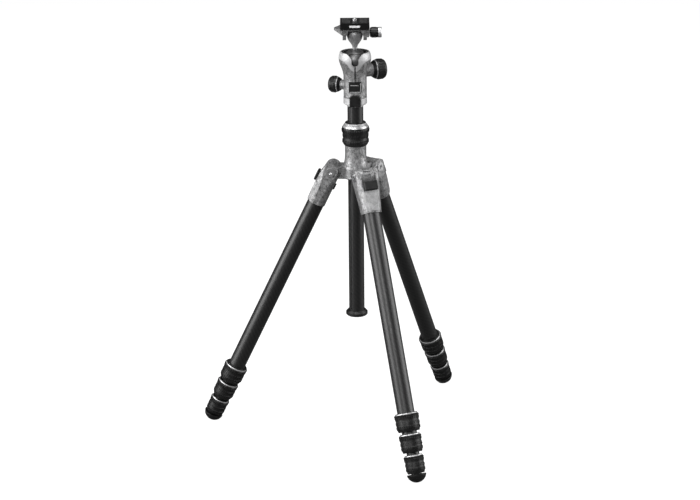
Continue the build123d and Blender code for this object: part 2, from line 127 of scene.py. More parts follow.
def spread(tree, value, low, high, fromLow=0.0, fromHigh=1.0):
    return addNode(tree, "ShaderNodeMapRange", {
        "Value": value, "From Min": fromLow, "From Max": fromHigh,
        "To Min": low, "To Max": high}).outputs[0]


def greyRamp(tree, value, stops):
    ramp = addNode(tree, "ShaderNodeValToRGB", {"Fac": value})
    ramp.color_ramp.elements.remove(ramp.color_ramp.elements[1])
    for index, (place, tone) in enumerate(stops):
        colour = (tone, tone, tone * 1.01, 1)
        element = ramp.color_ramp.elements[0] if index == 0 else ramp.color_ramp.elements.new(place)
        element.position = place
        element.color = colour
    return ramp.outputs[0]


def addBump(tree, shader, height, strength, distance):
    bump = addNode(tree, "ShaderNodeBump", {"Height": height, "Strength": strength, "Distance": distance})
    tree.links.new(bump.outputs[0], shader.inputs["Normal"])


# sizes in mm, noise scales per metre, colours as linear greys
carbonLook = {"tow": 1.8, "dark": 0.001, "light": 0.012, "roughness": 0.45, "coat": 0.45,
              "coatRoughness": 0.32, "fibre": 2500.0}
castLook = {"dark": 0.03, "light": 0.5, "metallic": 0.45, "grain": 650.0, "blotch": 240.0, "bump": 0.7}
brightLook = {"dark": 0.46, "light": 0.62, "metallic": 0.2, "grain": 1200.0, "blotch": 200.0, "bump": 0.12}
rubberLook = {"dark": 0.002, "light": 0.010, "roughness": 0.42, "grain": 1500.0}
# tone and roughness of each turned metal
metalLook = {"steel": (0.75, 0.3), "ballGrey": (0.2, 0.42), "neckGrey": (0.4, 0.42),
             "anodised": (0.01, 0.34), "ringBright": (0.55, 0.36), "paleMark": (0.8, 0.5)}
turnedLines = 6000.0  # lathe lines, per metre
threadPitch = 1.27  # 20 threads to the inch
# walls of the head nearer the ball's centre than this get painted shade: near black, standing in for the
# shadow inside the mouth
paintedShadeReach = {"head_housing": 20.6, "housing_collar": 21.4}


def carbonMaterial(name, matrix, radius):
    material, tree, shader = newMaterial(name)
    parts = addNode(tree, "ShaderNodeSeparateXYZ", {0: localPoint(tree, matrix)})
    around = doMath(tree, "ARCTAN2", parts.outputs[1], parts.outputs[0])
    tows = round(2 * math.pi * radius / (carbonLook["tow"] * mm) / 4) * 4
    u = doMath(tree, "MULTIPLY", around, tows / (2 * math.pi))
    v = doMath(tree, "MULTIPLY", parts.outputs[2], 1 / (carbonLook["tow"] * mm))
    diagonal = doMath(tree, "ADD", doMath(tree, "FLOOR", u), doMath(tree, "FLOOR", v))
    over = doMath(tree, "LESS_THAN", doMath(tree, "FLOORED_MODULO", diagonal, 4.0), 2.0)
    acrossU = doMath(tree, "PINGPONG", u, 0.5)
    acrossV = doMath(tree, "PINGPONG", v, 0.5)
    crown = addNode(tree, "ShaderNodeMix", {"Factor": over, "A": acrossU, "B": acrossV}).outputs[0]
    fibre = noiseAt(tree, localPoint(tree, matrix), carbonLook["fibre"], 2.0)
    tone = doMath(tree, "ADD", doMath(tree, "MULTIPLY", over, 0.45), doMath(tree, "MULTIPLY", fibre, 0.5))
    tree.links.new(greyRamp(tree, tone, [(0.1, carbonLook["dark"]), (0.9, carbonLook["light"])]),
                   shader.inputs["Base Color"])
    shader.inputs["Roughness"].default_value = carbonLook["roughness"]
    shader.inputs["Coat Weight"].default_value = carbonLook["coat"]
    shader.inputs["Coat Roughness"].default_value = carbonLook["coatRoughness"]
    addBump(tree, shader, crown, 0.12, 0.15 * mm)
    return material


def castMaterial(name, look, paintedShadeInside=None):
    # hammered paint over cast metal, with blotches and a fine grain, and, when given a centre and a reach,
    # painted shade near black on the walls inside that reach
    material, tree, shader = newMaterial(name)
    point = localPoint(tree, upright)
    blotch = noiseAt(tree, point, look["blotch"], 5.0, 0.6)
    grain = noiseAt(tree, point, look["grain"], 2.0, 0.5)
    mixed = doMath(tree, "ADD", doMath(tree, "MULTIPLY", blotch, 0.6), doMath(tree, "MULTIPLY", grain, 0.4))
    colour = greyRamp(tree, mixed, [(0.32, look["dark"]), (0.66, look["light"])])
    if paintedShadeInside:
        # painted shade: walls closer to the centre than the reach are painted near black, standing in for the
        # shadow inside the mouth
        centre, reach = paintedShadeInside
        away = addNode(tree, "ShaderNodeVectorMath", {0: point, 1: centre},
                       operation="DISTANCE").outputs["Value"]
        outside = spread(tree, away, 0.0, 1.0, reach - 0.3 * mm, reach)
        colour = addNode(tree, "ShaderNodeMix", {
            "Factor": outside, "A": (0.02, 0.02, 0.02, 1), "B": colour}, data_type="RGBA").outputs[2]
    tree.links.new(colour, shader.inputs["Base Color"])
    shader.inputs["Metallic"].default_value = look["metallic"]
    tree.links.new(spread(tree, grain, 0.3, 0.5), shader.inputs["Roughness"])
    dimples = addNode(tree, "ShaderNodeTexVoronoi", {"Vector": point, "Scale": look["grain"]},
                      feature="SMOOTH_F1").outputs["Distance"]
    addBump(tree, shader, dimples, look["bump"], 0.5 * mm)
    return material


def rubberMaterial(name, lift=1.0):
    material, tree, shader = newMaterial(name)
    point = localPoint(tree, upright)
    dust = noiseAt(tree, point, 120.0, 4.0, 0.6)
    tones = [(0.35, rubberLook["dark"] * lift), (0.75, rubberLook["light"] * lift)]
    tree.links.new(greyRamp(tree, dust, tones), shader.inputs["Base Color"])
    shader.inputs["Specular IOR Level"].default_value = 0.5
    tree.links.new(spread(tree, dust, rubberLook["roughness"] - 0.1, rubberLook["roughness"] + 0.14),
                   shader.inputs["Roughness"])
    addBump(tree, shader, noiseAt(tree, point, rubberLook["grain"], 2.0), 0.2, 0.15 * mm)
    return material


def turnedMetal(name, tone, roughness, matrix=upright, metallic=1.0):
    # machined metal with fine lathe lines round its axis
    material, tree, shader = newMaterial(name)
    parts = addNode(tree, "ShaderNodeSeparateXYZ", {0: localPoint(tree, matrix)})
    alongAxis = addNode(tree, "ShaderNodeCombineXYZ", {2: parts.outputs[2]}).outputs[0]
    lines = noiseAt(tree, alongAxis, turnedLines, 1.0)
    smudge = noiseAt(tree, localPoint(tree, matrix), 150.0, 3.0)
    tree.links.new(greyRamp(tree, smudge, [(0.3, tone * 0.85), (0.7, min(1.0, tone * 1.12))]),
                   shader.inputs["Base Color"])
    shader.inputs["Metallic"].default_value = metallic
    tree.links.new(spread(tree, lines, roughness * 0.8, roughness * 1.3), shader.inputs["Roughness"])
    addBump(tree, shader, lines, 0.05, 0.05 * mm)
    return material


def threadMaterial(name, pitch):
    material, tree, shader = newMaterial(name)
    parts = addNode(tree, "ShaderNodeSeparateXYZ", {0: localPoint(tree, upright)})
    around = doMath(tree, "ARCTAN2", parts.outputs[1], parts.outputs[0])
    turn = doMath(tree, "MULTIPLY", around, 0.5 / math.pi)
    rise = doMath(tree, "ADD", doMath(tree, "MULTIPLY", parts.outputs[2], 1 / pitch), turn)
    groove = doMath(tree, "PINGPONG", rise, 0.5)
    # painted shade: the thread's valleys are painted darker than its crests
    tree.links.new(greyRamp(tree, groove, [(0.1, 0.18), (0.4, 0.62)]), shader.inputs["Base Color"])
    shader.inputs["Metallic"].default_value = 1.0
    shader.inputs["Roughness"].default_value = 0.3
    addBump(tree, shader, groove, 0.8, 0.4 * mm)
    return material


ballCentre = Vector(joints["ball_tilt_side"]["pos_m"])
castGrey = castMaterial("hammeredCasting", castLook)
# housing and collar: painted shade near black on their walls close to the ball
housingGrey = castMaterial("hammeredHousing", castLook, (ballCentre, paintedShadeReach["head_housing"] * mm))
panelCastLook = dict(castLook, dark=0.3, light=0.6, bump=0.06)
panelCast = castMaterial("satinPanel", panelCastLook)
brightCast = castMaterial("satinCasting", brightLook)
collarBright = castMaterial("satinCollar", brightLook, (ballCentre, paintedShadeReach["housing_collar"] * mm))
gripRubber = rubberMaterial("gripRubber")
footRubber = rubberMaterial("footRubber", 0.9)
blackPlastic = rubberMaterial("blackPlastic", 1.3)
steelBolt = turnedMetal("steelBolt", *metalLook["steel"])
ballMetal = turnedMetal("ballMetal", *metalLook["ballGrey"], metallic=0.9)
neckMetal = turnedMetal("neckMetal", *metalLook["neckGrey"], metallic=0.6)
clampGrey = castMaterial("clampCasting", dict(castLook, dark=0.06, light=0.3))
blackMetal = turnedMetal("blackAnodised", *metalLook["anodised"], metallic=0.5)
brightRing = turnedMetal("brightRing", *metalLook["ringBright"], metallic=0.6)
screwMetal = threadMaterial("screwThread", threadPitch * mm)

columnPlace = axisMatrix((0, 0, 0), (0, 0, 1), (1, 0, 0))
columnRadius = localRange("column_tube", columnPlace)[1].x
nodeFinishes = {
    "spider_casting": castGrey, "column_bush": blackPlastic, "pivot_bolts": steelBolt,
    "column_tube": carbonMaterial("columnCarbon", columnPlace, columnRadius),
    "column_top_plate": brightCast, "head_stud": steelBolt, "column_bottom_cap": blackPlastic,
    "pan_base": brightCast, "column_lock_grip": gripRubber, "column_lock_ring": brightRing,
    "head_housing": housingGrey, "housing_collar": collarBright, "label_plate": blackPlastic,
    "ball_seat": blackPlastic, "ball": ballMetal, "ball_neck": neckMetal, "clamp_base": clampGrey,
    "clamp_jaw": clampGrey, "clamp_screw": steelBolt, "clamp_knob": blackMetal,
    "quick_release_plate": blackMetal, "plate_pads": blackPlastic, "camera_screw": screwMetal,
    "main_knob_core": blackMetal, "main_knob_grip": gripRubber,
    "pan_knob_core": blackMetal, "pan_knob_grip": gripRubber,
}
for name in legNames:
    place = legPlaces[name]
    nodeFinishes[f"leg_{name}_hinge"] = castGrey
    nodeFinishes[f"leg_{name}_bumper"] = footRubber
    nodeFinishes[f"leg_{name}_angle_lock"] = blackPlastic
    nodeFinishes[f"leg_{name}_foot"] = footRubber
    for tube in range(1, 5):
        radius = localRange(f"leg_{name}_tube_{tube}", place)[1].x
        nodeFinishes[f"leg_{name}_tube_{tube}"] = carbonMaterial(f"carbon_{name}_{tube}", place, radius)
    for lock in range(1, 4):
        nodeFinishes[f"leg_{name}_lock_{lock}"] = gripRubber

for nodeName, material in nodeFinishes.items():
    slots = nodes[nodeName].material_slots
    if not slots:
        nodes[nodeName].data.materials.append(material)
    for slot in slots:
        slot.material = material
print("materials on", len(nodeFinishes), "nodes")


# mesh makers

def addMesh(name, points, faces, material, matrix=upright, sharpAngle=35):
    mesh = bpy.data.meshes.new(name)
    mesh.from_pydata([matrix @ Vector(p) for p in points], [], faces)
    mesh.materials.append(material)
    mesh.shade_smooth()
    mesh.set_sharp_from_angle(angle=math.radians(sharpAngle))
    piece = bpy.data.objects.new(name, mesh)
    bpy.context.scene.collection.objects.link(piece)
    return piece


def latheRing(name, profile, material, matrix=upright, segments=96):
    # profile is a closed loop of (radius, height), anticlockwise as seen with the axis on the left
    count = len(profile)
    points = []
    for step in range(segments):
        angle = 2 * math.pi * step / segments
        points += [(r * math.cos(angle), r * math.sin(angle), z) for r, z in profile]
    faces = []
    for step in range(segments):
        here, there = step * count, (step + 1) % segments * count
        for i in range(count):
            j = (i + 1) % count
            faces.append((here + i, there + i, there + j, here + j))
    return addMesh(name, points, faces, material, matrix)


def roundedPlate(name, width, height, thickness, corner, material, matrix=upright, steps=6):
    # a plate in its own XY plane, from z = 0 up, with round corners and a small top bevel
    outline = []
    for cx, cy, start in ((1, 1, 0), (-1, 1, 90), (-1, -1, 180), (1, -1, 270)):
        for step in range(steps + 1):
            angle = math.radians(start + 90 * step / steps)
            outline.append((cx * (width / 2 - corner) + corner * math.cos(angle),
                            cy * (height / 2 - corner) + corner * math.sin(angle)))
    bevel = min(0.25 * thickness, 0.3 * mm)
    layers = [(0, 0), (0, thickness - bevel), (bevel, thickness)]
    points = []
    for inset, z in layers:
        for x, y in outline:
            points.append((x * (1 - 2 * inset / width), y * (1 - 2 * inset / height), z))
    n = len(outline)
    faces = [tuple(reversed(range(n))), tuple(range(2 * n, 3 * n))]
    for layer in range(2):
        for i in range(n):
            j = (i + 1) % n
            faces.append((layer * n + i, layer * n + j, (layer + 1) * n + j, (layer + 1) * n + i))
    return addMesh(name, points, faces, material, matrix, 30)


# geometry node trees

def newTree(name, sockets):
    tree = bpy.data.node_groups.new(name, "GeometryNodeTree")
    tree.interface.new_socket("Geometry", in_out="OUTPUT", socket_type="NodeSocketGeometry")
    for socketName, kind in sockets.items():
        tree.interface.new_socket(socketName, in_out="INPUT", socket_type=kind)
    given = tree.nodes.new("NodeGroupInput")
    result = tree.nodes.new("NodeGroupOutput")
    return tree, given.outputs, result


def vectorMath(tree, operation, first, second=(0, 0, 0)):
    node = tree.nodes.new("ShaderNodeVectorMath")
    node.operation = operation
    for index, value in enumerate((first, second)):
        key = "Scale" if operation == "SCALE" and index == 1 else index
        if isinstance(value, bpy.types.NodeSocket):
            tree.links.new(value, node.inputs[key])
        else:
            node.inputs[key].default_value = value
    return node.outputs[0]


def turned(tree, given, vector):
    return addNode(tree, "ShaderNodeVectorRotate", {
        "Vector": vector, "Rotation": given["Turn"]}, rotation_type="EULER_XYZ").outputs[0]


def studMesh(tree, width, length, height, taper):
    # a low block whose top is narrower than its foot, half sunk in the surface
    doubled = doMath(tree, "MULTIPLY", height, 2.0)
    size = addNode(tree, "ShaderNodeCombineXYZ", {0: width, 1: length, 2: doubled})
    cube = addNode(tree, "GeometryNodeMeshCube", {"Size": size.outputs[0]})
    position = addNode(tree, "GeometryNodeInputPosition")
    parts = addNode(tree, "ShaderNodeSeparateXYZ", {0: position.outputs[0]})
    narrow = addNode(tree, "ShaderNodeCombineXYZ", {
        0: doMath(tree, "MULTIPLY", parts.outputs[0], taper),
        1: doMath(tree, "MULTIPLY", parts.outputs[1], taper), 2: parts.outputs[2]})
    upper = addNode(tree, "FunctionNodeCompare", {"A": parts.outputs[2], "B": 0.0},
                    operation="GREATER_THAN")
    return addNode(tree, "GeometryNodeSetPosition", {
        "Geometry": cube.outputs[0], "Selection": upper.outputs[0],
        "Position": narrow.outputs[0]}).outputs[0]


def finishTree(tree, instances, material, result):
    real = addNode(tree, "GeometryNodeRealizeInstances", {0: instances})
    painted = addNode(tree, "GeometryNodeSetMaterial", {"Geometry": real.outputs[0], "Material": material})
    tree.links.new(painted.outputs[0], result.inputs[0])


def knurlTree():
    # studs in rows round an axis, dropped on to the target's surface and turned to its normal
    tree, given, result = newTree("knurlRound", {
        "Target": "NodeSocketObject", "Origin": "NodeSocketVector", "Turn": "NodeSocketVector",
        "Around": "NodeSocketInt", "Rows": "NodeSocketInt",
        "Start": "NodeSocketFloat", "End": "NodeSocketFloat",
        "Reach": "NodeSocketFloat", "Width": "NodeSocketFloat", "Length": "NodeSocketFloat",
        "Height": "NodeSocketFloat", "Taper": "NodeSocketFloat",
        "Stagger": "NodeSocketFloat", "Finish": "NodeSocketMaterial"})
    count = doMath(tree, "MULTIPLY", given["Around"], given["Rows"])
    cloud = addNode(tree, "GeometryNodePoints", {"Count": count})
    index = addNode(tree, "GeometryNodeInputIndex").outputs[0]
    row = doMath(tree, "FLOOR", doMath(tree, "DIVIDE", index, given["Around"]))
    column = doMath(tree, "FLOORED_MODULO", index, given["Around"])
    shift = doMath(tree, "MULTIPLY", doMath(tree, "FLOORED_MODULO", row, 2.0), given["Stagger"])
    turns = doMath(tree, "DIVIDE", doMath(tree, "ADD", column, shift), given["Around"])
    angle = doMath(tree, "MULTIPLY", turns, 2 * math.pi)
    share = doMath(tree, "DIVIDE", doMath(tree, "ADD", row, 0.5), given["Rows"])
    span = doMath(tree, "SUBTRACT", given["End"], given["Start"])
    height = doMath(tree, "MULTIPLY_ADD", span, share, given["Start"])
    radial = addNode(tree, "ShaderNodeCombineXYZ", {
        0: doMath(tree, "COSINE", angle), 1: doMath(tree, "SINE", angle)}).outputs[0]
    alongAxis = addNode(tree, "ShaderNodeCombineXYZ", {2: height}).outputs[0]
    radialWorld = turned(tree, given, radial)
    axisWorld = turned(tree, given, (0.0, 0.0, 1.0))
    foot = vectorMath(tree, "ADD", given["Origin"], turned(tree, given, alongAxis))
    start = vectorMath(tree, "ADD", foot, vectorMath(tree, "SCALE", radialWorld, given["Reach"]))
    inward = vectorMath(tree, "SCALE", radialWorld, -1.0)
    surface = addNode(tree, "GeometryNodeObjectInfo", {"Object": given["Target"]}).outputs["Geometry"]
    ray = addNode(tree, "GeometryNodeRaycast", {
        "Target Geometry": surface, "Source Position": start, "Ray Direction": inward,
        "Ray Length": given["Reach"]})
    normal = ray.outputs["Hit Normal"]
    facing = addNode(tree, "FunctionNodeAxesToRotation", {
        "Primary Axis": normal, "Secondary Axis": axisWorld}, primary_axis="Z", secondary_axis="Y").outputs[0]
    placed = addNode(tree, "GeometryNodeSetPosition", {
        "Geometry": cloud.outputs[0], "Position": ray.outputs["Hit Position"]}).outputs[0]
    stud = studMesh(tree, given["Width"], given["Length"], given["Height"], given["Taper"])
    studs = addNode(tree, "GeometryNodeInstanceOnPoints", {
        "Points": placed, "Selection": ray.outputs["Is Hit"], "Instance": stud,
        "Rotation": facing}).outputs[0]
    finishTree(tree, studs, given["Finish"], result)
    return tree


def ribTree():
    # a row of straight ribs on a flat, each one a step from the last
    tree, given, result = newTree("ribRow", {
        "Origin": "NodeSocketVector", "Turn": "NodeSocketVector", "Count": "NodeSocketInt",
        "Step": "NodeSocketVector", "Width": "NodeSocketFloat", "Length": "NodeSocketFloat",
        "Height": "NodeSocketFloat", "Taper": "NodeSocketFloat", "Finish": "NodeSocketMaterial"})
    cloud = addNode(tree, "GeometryNodePoints", {"Count": given["Count"]})
    index = addNode(tree, "GeometryNodeInputIndex").outputs[0]
    offset = turned(tree, given, vectorMath(tree, "SCALE", given["Step"], index))
    placed = addNode(tree, "GeometryNodeSetPosition", {
        "Geometry": cloud.outputs[0],
        "Position": vectorMath(tree, "ADD", given["Origin"], offset)}).outputs[0]
    rib = studMesh(tree, given["Width"], given["Length"], given["Height"], given["Taper"])
    turn = addNode(tree, "FunctionNodeEulerToRotation", {0: given["Turn"]}).outputs[0]
    ribs = addNode(tree, "GeometryNodeInstanceOnPoints", {
        "Points": placed, "Instance": rib, "Rotation": turn}).outputs[0]
    finishTree(tree, ribs, given["Finish"], result)
    return tree


def panelTree():
    # a serrated plate that lies on the target's surface: a grid dropped on it along one direction
    tree, given, result = newTree("serratedPanel", {
        "Target": "NodeSocketObject", "Origin": "NodeSocketVector", "Turn": "NodeSocketVector",
        "Top": "NodeSocketFloat", "Bottom": "NodeSocketFloat", "WidthTop": "NodeSocketFloat",
        "WidthBottom": "NodeSocketFloat", "Plain": "NodeSocketFloat", "Ribs": "NodeSocketInt",
        "Proud": "NodeSocketFloat", "RibHeight": "NodeSocketFloat", "Sunk": "NodeSocketFloat",
        "Reach": "NodeSocketFloat", "Finish": "NodeSocketMaterial"})
    rows = doMath(tree, "MULTIPLY_ADD", given["Ribs"], 8.0, 1.0)
    grid = addNode(tree, "GeometryNodeMeshGrid", {
        "Size X": 1.0, "Size Y": 1.0, "Vertices X": 25, "Vertices Y": rows}).outputs[0]
    position = addNode(tree, "GeometryNodeInputPosition").outputs[0]
    parts = addNode(tree, "ShaderNodeSeparateXYZ", {0: position})
    share = doMath(tree, "SUBTRACT", 0.5, parts.outputs[1])
    capture = tree.nodes.new("GeometryNodeCaptureAttribute")
    capture.capture_items.new("FLOAT", "share")
    tree.links.new(grid, capture.inputs[0])
    tree.links.new(share, capture.inputs[1])
    length = doMath(tree, "SUBTRACT", given["Bottom"], given["Top"])
    along = doMath(tree, "MULTIPLY_ADD", share, length, given["Top"])
    taper = doMath(tree, "SUBTRACT", given["WidthBottom"], given["WidthTop"])
    width = doMath(tree, "MULTIPLY_ADD", share, taper, given["WidthTop"])
    source = addNode(tree, "ShaderNodeCombineXYZ", {
        0: given["Reach"], 1: doMath(tree, "MULTIPLY", parts.outputs[0], width),
        2: doMath(tree, "MULTIPLY", along, -1.0)}).outputs[0]
    outward = turned(tree, given, (1.0, 0.0, 0.0))
    surface = addNode(tree, "GeometryNodeObjectInfo", {"Object": given["Target"]}).outputs["Geometry"]
    ray = addNode(tree, "GeometryNodeRaycast", {
        "Target Geometry": surface,
        "Source Position": vectorMath(tree, "ADD", given["Origin"], turned(tree, given, source)),
        "Ray Direction": vectorMath(tree, "SCALE", outward, -1.0), "Ray Length": given["Reach"]})
    under = vectorMath(tree, "SCALE", outward, doMath(tree, "MULTIPLY", given["Sunk"], -1.0))
    sheet = addNode(tree, "GeometryNodeSetPosition", {
        "Geometry": capture.outputs[0], "Position": ray.outputs["Hit Position"],
        "Offset": under}).outputs[0]
    raised = addNode(tree, "GeometryNodeExtrudeMesh", {
        "Mesh": sheet, "Offset": outward, "Offset Scale": given["Sunk"], "Individual": False})
    pastPlain = doMath(tree, "SUBTRACT", capture.outputs[1], given["Plain"])
    toothedShare = doMath(tree, "SUBTRACT", 1.0, given["Plain"])
    toothed = doMath(tree, "MAXIMUM", doMath(tree, "DIVIDE", pastPlain, toothedShare), 0.0)
    phase = doMath(tree, "FRACT", doMath(tree, "MULTIPLY", toothed, given["Ribs"]))
    rise = doMath(tree, "MULTIPLY", phase, 4.0)
    fall = doMath(tree, "MULTIPLY", doMath(tree, "SUBTRACT", 1.0, phase), 2.5)
    tooth = doMath(tree, "MINIMUM", doMath(tree, "MINIMUM", rise, fall), 1.0)
    lifted = doMath(tree, "MULTIPLY_ADD", tooth, given["RibHeight"], given["Proud"])
    topped = addNode(tree, "GeometryNodeSetPosition", {
        "Geometry": raised.outputs[0], "Selection": raised.outputs[1],
        "Offset": vectorMath(tree, "SCALE", outward, lifted)}).outputs[0]
    back = addNode(tree, "GeometryNodeFlipFaces", {0: sheet}).outputs[0]
    joined = tree.nodes.new("GeometryNodeJoinGeometry")
    tree.links.new(topped, joined.inputs[0])
    tree.links.new(back, joined.inputs[0])
    merged = addNode(tree, "GeometryNodeMergeByDistance", {
        "Geometry": joined.outputs[0], "Distance": 1e-6}).outputs[0]
    finishTree(tree, merged, given["Finish"], result)
    return tree


def growPiece(name, tree, values):
    seed = bpy.data.objects.new(name + "Seed", bpy.data.meshes.new(name + "Seed"))
    bpy.context.scene.collection.objects.link(seed)
    modifier = seed.modifiers.new("grow", "NODES")
    modifier.node_group = tree
    for item in tree.interface.items_tree:
        if item.in_out == "INPUT" and item.name in values:
            modifier[item.identifier] = values[item.name]
    graph = bpy.context.evaluated_depsgraph_get()
    graph.update()
    mesh = bpy.data.meshes.new_from_object(seed.evaluated_get(graph), depsgraph=graph)
    bpy.data.objects.remove(seed)
    piece = bpy.data.objects.new(name, mesh)
    bpy.context.scene.collection.objects.link(piece)
    return piece


knurl = knurlTree()
ribRow = ribTree()
panelGrid = panelTree()
rayReach = 30.0  # how far from an axis or a hinge the rays start


def knurlPiece(name, target, matrix, look, start, end, body):
    piece = growPiece(name, knurl, {
        "Target": nodes[target], "Origin": matrix.translation, "Turn": Vector(matrix.to_euler()),
        "Around": look["around"], "Rows": look["rows"], "Start": start, "End": end,
        "Reach": rayReach * mm, "Width": look["width"] * mm, "Length": look["length"] * mm,
        "Height": look["height"] * mm, "Taper": look["taper"],
        "Stagger": look["stagger"], "Finish": gripRubber})
    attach(piece, body)


# legs: knurled twist locks, bright rings, serrated panels

lockLook = {"around": 34, "rows": 3, "foot": 24.2, "top": 4.0,
            "width": 1.9, "length": 5.6, "height": 0.6, "taper": 0.6, "stagger": 0.5}
ringLook = {"inset": 1.5, "width": 0.4, "drop": 1.2, "height": 1.2}
panelLook = {"top": 23.6, "bottom": 52.6, "widthTop": 27.0, "widthBottom": 22.6, "proud": 0.28,
             "plain": 0.14, "ribs": 15, "ribHeight": 0.45, "sunk": 0.5}
footLook = {"ringHeight": 0.9, "proud": 0.4, "ridgeDrop": 5.0, "ridgeHeight": 1.0, "ridgeRadius": 11.85}

for name in legNames:
    place = legPlaces[name]
    for lock in range(1, 4):
        low, high = localRange(f"leg_{name}_lock_{lock}", place)
        body = f"leg_{name}_twist_{lock}"
        knurlPiece(f"leg_{name}_knurl_{lock}", f"leg_{name}_lock_{lock}", place, lockLook,
                   high.z - lockLook["foot"] * mm, high.z - lockLook["top"] * mm, body)
        outer = high.x
        inner = outer - ringLook["inset"] * mm
        top = high.z - ringLook["drop"] * mm
        width = ringLook["width"] * mm
        foot = top - ringLook["height"] * mm
        ring = latheRing(f"leg_{name}_ring_{lock}", [
            (inner - 0.4 * mm, foot), (inner + width, foot), (inner + width, top - 0.9 * mm),
            (inner + width * 0.5, top - 0.2 * mm), (inner, top + 0.3 * mm),
            (inner - 0.4 * mm, top + 0.3 * mm),
        ], brightRing, place)
        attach(ring, body)

    panel = growPiece(f"leg_{name}_panel", panelGrid, {
        "Target": nodes[f"leg_{name}_hinge"], "Origin": place.translation, "Turn": Vector(place.to_euler()),
        "Top": panelLook["top"] * mm, "Bottom": panelLook["bottom"] * mm,
        "WidthTop": panelLook["widthTop"] * mm, "WidthBottom": panelLook["widthBottom"] * mm,
        "Plain": panelLook["plain"], "Ribs": panelLook["ribs"], "Proud": panelLook["proud"] * mm,
        "RibHeight": panelLook["ribHeight"] * mm, "Sunk": panelLook["sunk"] * mm,
        "Reach": rayReach * mm, "Finish": panelCast})
    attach(panel, f"leg_{name}")

    # a rim at the top of the foot and a ridge lower down, both inside the foot's own width on the floor
    low, high = localRange(f"leg_{name}_foot", place)
    rimFoot = high.z - footLook["ringHeight"] * mm
    rimOuter = high.x + footLook["proud"] * mm
    rim = latheRing(f"leg_{name}_foot_rim", [
        (high.x - 1.5 * mm, rimFoot - 0.3 * mm), (high.x, rimFoot - 0.3 * mm),
        (rimOuter - 0.2 * mm, rimFoot), (rimOuter, high.z - 0.1 * mm),
        (high.x - 0.4 * mm, high.z + 0.2 * mm), (high.x - 1.5 * mm, high.z + 0.2 * mm),
    ], footRubber, place)
    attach(rim, f"leg_{name}_section_4")
    ridgeTop = high.z - footLook["ridgeDrop"] * mm
    ridgeFoot = ridgeTop - footLook["ridgeHeight"] * mm
    ridgeOuter = footLook["ridgeRadius"] * mm
    ridge = latheRing(f"leg_{name}_foot_ridge", [
        (ridgeOuter - 2 * mm, ridgeFoot - 0.4 * mm), (ridgeOuter - 0.8 * mm, ridgeFoot - 0.4 * mm),
        (ridgeOuter, ridgeFoot), (ridgeOuter + 0.4 * mm, ridgeTop),
        (ridgeOuter - 0.5 * mm, ridgeTop + 0.3 * mm),
        (ridgeOuter - 2 * mm, ridgeTop + 0.3 * mm),
    ], footRubber, place)
    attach(ridge, f"leg_{name}_section_4")
print("legs dressed")


# column lock

columnLockLook = {"around": 38, "rows": 3, "foot": 2.5, "top": 1.2, "rimInset": 3.4,
                  "width": 1.9, "length": 6.2, "height": 0.6, "taper": 0.6, "stagger": 0.5}
low, high = localRange("column_lock_grip", upright)
knurlPiece("column_lock_knurl", "column_lock_grip", upright, columnLockLook,
           low.z + columnLockLook["foot"] * mm, high.z - columnLockLook["top"] * mm,
           "column_lock")

ringHigh = localRange("column_lock_ring", upright)[1]
rimInner = columnRadius + 0.3 * mm
rimOuter = ringHigh.x - columnLockLook["rimInset"] * mm
rim = latheRing("column_lock_rim", [
    (rimInner, ringHigh.z - 0.6 * mm), (rimOuter, ringHigh.z - 0.6 * mm), (rimOuter, ringHigh.z + 0.1 * mm),
    (rimOuter - 0.5 * mm, ringHigh.z + 0.5 * mm), (rimInner, ringHigh.z + 0.5 * mm),
], blackPlastic)
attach(rim, "column_lock")


# head knobs

knobLook = {"around": 24, "rows": 1, "back": 1.0,
            "width": 2.1, "length": 10.0, "height": 0.7, "taper": 0.7, "stagger": 0.0}
smallKnobLook = dict(knobLook, around=20, width=1.9, length=8.0)
knobRing = {"height": 1.4, "proud": 0.5}
for prefix, look in (("main_knob", knobLook), ("pan_knob", smallKnobLook)):
    place = knobMatrix(f"{prefix}_turn")
    low, high = localRange(f"{prefix}_grip", place)
    coreHigh = localRange(f"{prefix}_core", place)[1]
    middle = (low.z + high.z) / 2 - look["back"] * mm
    knurlPiece(f"{prefix}_ribs", f"{prefix}_grip", place, look, middle, middle, prefix)
    radius = coreHigh.x
    outer = radius + knobRing["proud"] * mm
    foot = low.z - knobRing["height"] * mm
    ring = latheRing(f"{prefix}_ring", [
        (radius - 1.5 * mm, foot), (radius + 0.2 * mm, foot), (outer, foot + 0.4 * mm),
        (outer, low.z - 0.3 * mm), (radius + 0.1 * mm, low.z), (radius - 1.5 * mm, low.z),
    ], brightRing, place)
    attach(ring, prefix)
print("locks and knobs dressed")


# clamp knob: ribbed barrel and a bright end cap

clampKnobPlace = axisMatrix(joints["clamp_knob_turn"]["pos_m"], (1, 0, 0), (0, 0, 1))
low, high = localRange("clamp_knob", clampKnobPlace)
clampRibLook = {"around": 20, "rows": 1, "middle": 5.75,
                "width": 1.2, "length": 8.5, "height": 0.35, "taper": 0.7, "stagger": 0.0}
middle = low.z + clampRibLook["middle"] * mm
knurlPiece("clamp_knob_ribs", "clamp_knob", clampKnobPlace, clampRibLook, middle, middle,
           "jaw_knob")
capLook = {"length": 4.6, "proud": 0.2, "bore": 0.2}
capFoot = high.z - capLook["length"] * mm
capTop = high.z + capLook["proud"] * mm
capOuter = high.x + capLook["proud"] * mm
bore = capLook["bore"] * mm
cap = latheRing("clamp_knob_cap", [
    (bore, capFoot), (capOuter, capFoot), (capOuter, high.z - 0.5 * mm),
    (high.x - 0.6 * mm, capTop), (bore, capTop),
], brightRing, clampKnobPlace)
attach(cap, "jaw_knob")


# plate: front bar and ribbed pads

